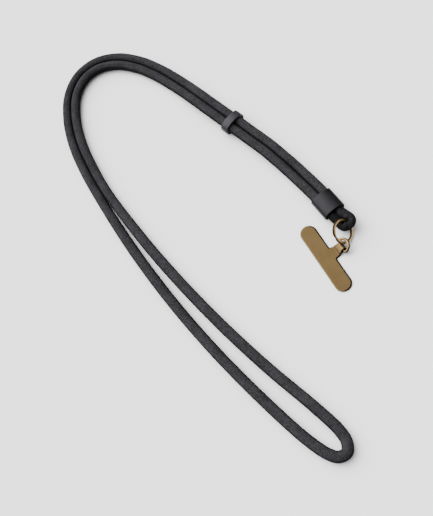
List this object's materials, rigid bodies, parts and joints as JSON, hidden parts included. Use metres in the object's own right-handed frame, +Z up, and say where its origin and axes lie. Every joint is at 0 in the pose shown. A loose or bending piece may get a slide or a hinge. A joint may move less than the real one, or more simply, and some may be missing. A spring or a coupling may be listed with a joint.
{
  "type": "phone crossbody strap",
  "caption": "Soft cord crossbody strap lying in a long loop, doubled through a slider and an end sleeve, with a cord eye, split ring, D ring and T-shaped tab for a phone case.",
  "frame": {"origin": "middle of the underside of the tab's bar, on the surface that the strap lies on", "axes": "+Z up, +Y along the strap from the near end of its open loop to the far bend, +X from the tab's bar to its neck"},
  "size_m": [0.1504, 0.3865, 0.0137],
  "materials": {
    "cord": "fine knitted charcoal cord, matt",
    "sleeve": "smooth matt black band",
    "brass": "polished antique brass wire",
    "tab_brass": "satin antique brass plate"
  },
  "bodies": {
    "strap": {"strap_cord": "cord", "end_eye": "cord", "end_sleeve": "sleeve", "split_ring": "brass", "d_ring": "brass", "phone_tab": "tab_brass"},
    "keeper": {"keeper": "sleeve"}
  },
  "joints": [
    {"name": "keeper_slide", "type": "slide", "parent": "strap", "child": "keeper", "axis": [-0.2534, 0.9674, 0], "range_m": [-0.022, 0.022]}
  ]
}
